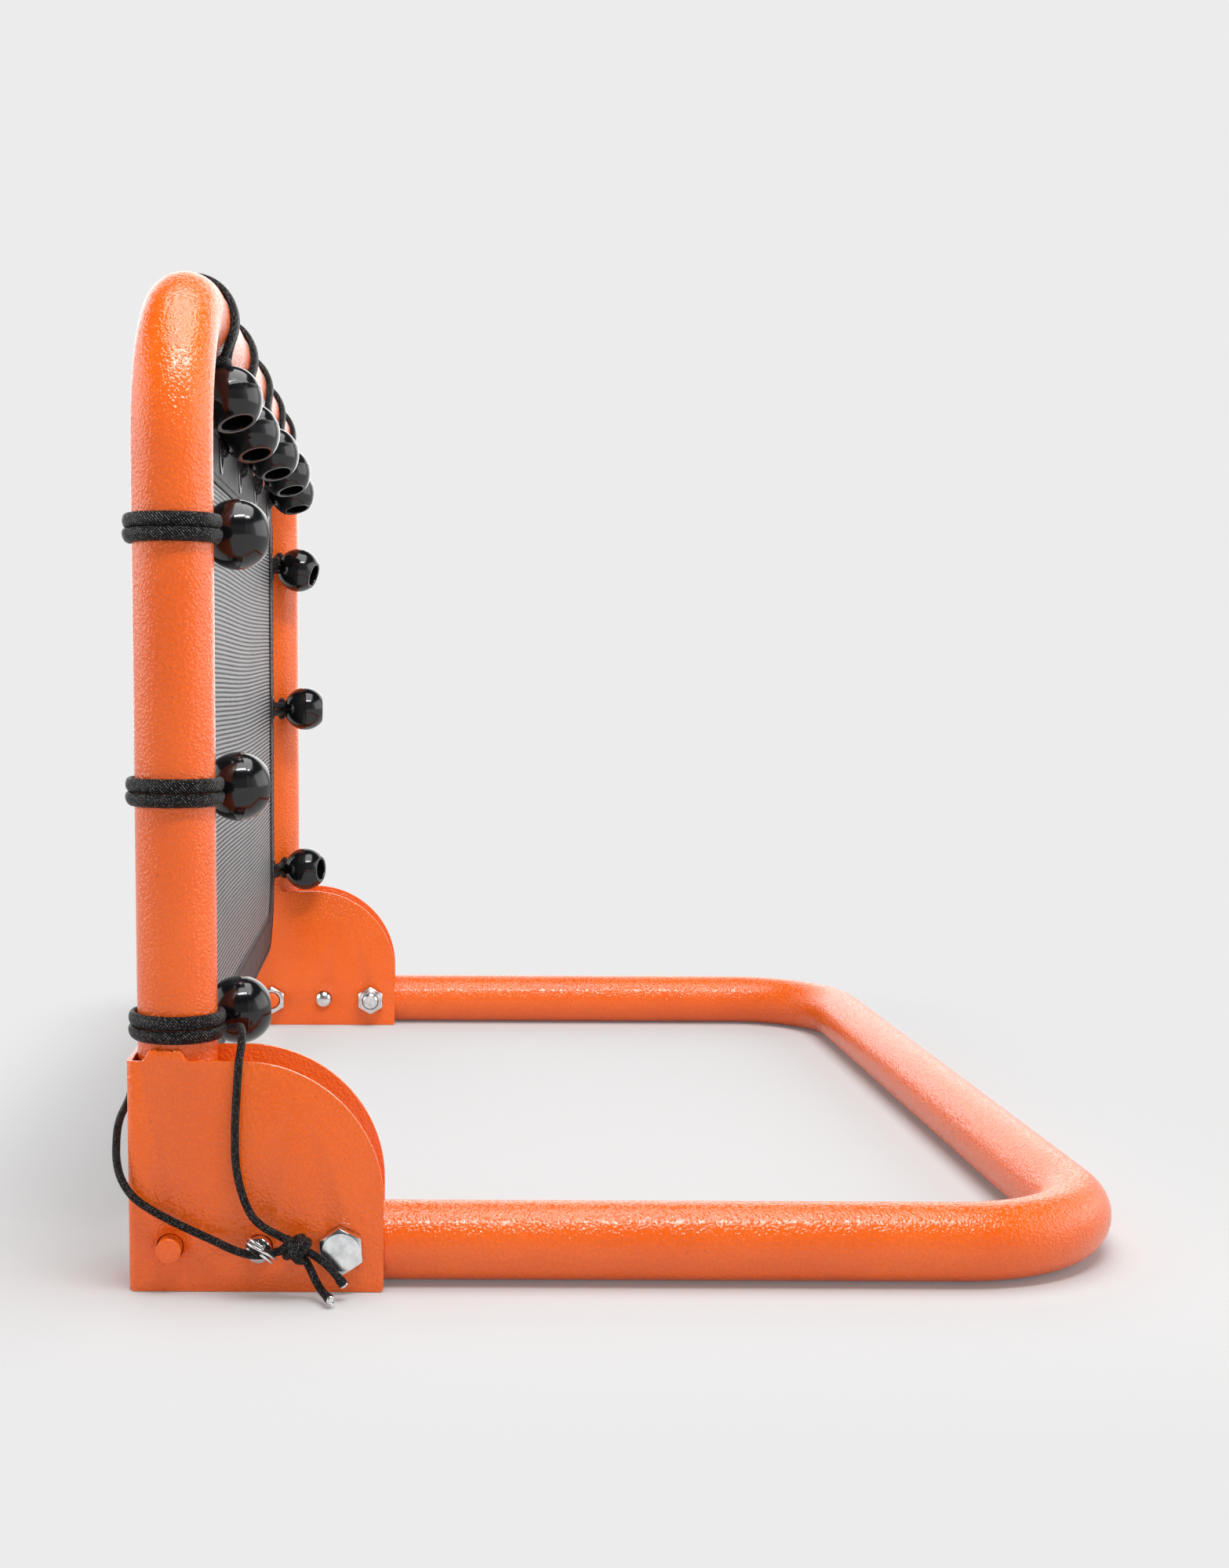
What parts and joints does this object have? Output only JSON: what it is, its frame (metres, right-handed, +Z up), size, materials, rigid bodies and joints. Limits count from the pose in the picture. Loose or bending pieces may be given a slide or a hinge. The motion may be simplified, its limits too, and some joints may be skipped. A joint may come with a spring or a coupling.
{
  "type": "football rebounder",
  "caption": "Free-standing folding rebounder: a bent-tube frame holds a sprung net by ball bungees over a U-shaped base that folds up on two pivot bolts.",
  "frame": {"origin": "on the floor, below the middle of the object's box (measured without the tether and what is on it)", "axes": "+Z up, +X along the upper bar to the side with the tether, +Y from the net back along the base"},
  "size_m": [0.6246, 0.4216, 0.4143],
  "materials": {
    "orange_powder_coat": "satin, finely pebbled powder coat",
    "zinc_plate": "bright zinc plating",
    "bright_steel": "polished",
    "black_steel": "satin black",
    "net_mesh": "open knitted mesh",
    "black_webbing": "woven webbing",
    "black_elastic": "braided elastic cord",
    "black_plastic": "glossy moulded plastic"
  },
  "bodies": {
    "upright": {"upright_frame": "orange_powder_coat", "bracket_right": "orange_powder_coat", "bracket_left": "orange_powder_coat", "pivot_bolt_right": "zinc_plate", "pivot_nut_right": "zinc_plate", "cross_stud_right": "orange_powder_coat", "stud_nut_right": "zinc_plate", "pivot_bolt_left": "zinc_plate", "pivot_nut_left": "zinc_plate", "cross_stud_left": "orange_powder_coat", "stud_nut_left": "zinc_plate", "rebound_net": "net_mesh", "net_hem": "black_webbing", "eyelet_right_1": "black_steel", "bungee_right_1": "black_elastic", "ball_right_1": "black_plastic", "eyelet_right_2": "black_steel", "bungee_right_2": "black_elastic", "ball_right_2": "black_plastic", "eyelet_right_3": "black_steel", "bungee_right_3": "black_elastic", "ball_right_3": "black_plastic", "eyelet_left_1": "black_steel", "bungee_left_1": "black_elastic", "ball_left_1": "black_plastic", "eyelet_left_2": "black_steel", "bungee_left_2": "black_elastic", "ball_left_2": "black_plastic", "eyelet_left_3": "black_steel", "bungee_left_3": "black_elastic", "ball_left_3": "black_plastic", "eyelet_top_1": "black_steel", "bungee_top_1": "black_elastic", "ball_top_1": "black_plastic", "eyelet_top_2": "black_steel", "bungee_top_2": "black_elastic", "ball_top_2": "black_plastic", "eyelet_top_3": "black_steel", "bungee_top_3": "black_elastic", "ball_top_3": "black_plastic", "eyelet_top_4": "black_steel", "bungee_top_4": "black_elastic", "ball_top_4": "black_plastic", "eyelet_top_5": "black_steel", "bungee_top_5": "black_elastic", "ball_top_5": "black_plastic", "tether_strand_upper": "black_elastic", "tether_strand_lower": "black_elastic"},
    "base": {"base_frame": "orange_powder_coat"},
    "right_lock_pin": {"lock_pin_right": "bright_steel", "pin_ring_right": "bright_steel", "tether_knot": "black_elastic", "tether_tail_upper": "black_elastic", "tether_tail_lower": "black_elastic", "tip_tail_upper": "zinc_plate", "tip_tail_lower": "zinc_plate"},
    "left_lock_pin": {"lock_pin_left": "bright_steel"},
    "left_pin_ring": {"pin_ring_left": "bright_steel"}
  },
  "joints": [
    {"name": "base_fold", "type": "hinge", "parent": "upright", "child": "base", "pos_m": [0, -0.12101, 0.0183], "axis": [1, 0, 0], "range_deg": [0, 90]},
    {"name": "right_pin_pull", "type": "slide", "parent": "upright", "child": "right_lock_pin", "axis": [1, 0, 0], "range_m": [0, 0.05], "deforming": ["tether_strand_upper", "tether_strand_lower"]},
    {"name": "left_pin_pull", "type": "slide", "parent": "upright", "child": "left_lock_pin", "axis": [-1, 0, 0], "range_m": [0, 0.05]},
    {"name": "left_ring_swing", "type": "hinge", "parent": "left_lock_pin", "child": "left_pin_ring", "pos_m": [-0.302, -0.15351, 0.0183], "axis": [0, 1, 0], "range_deg": [-5, 90]}
  ]
}
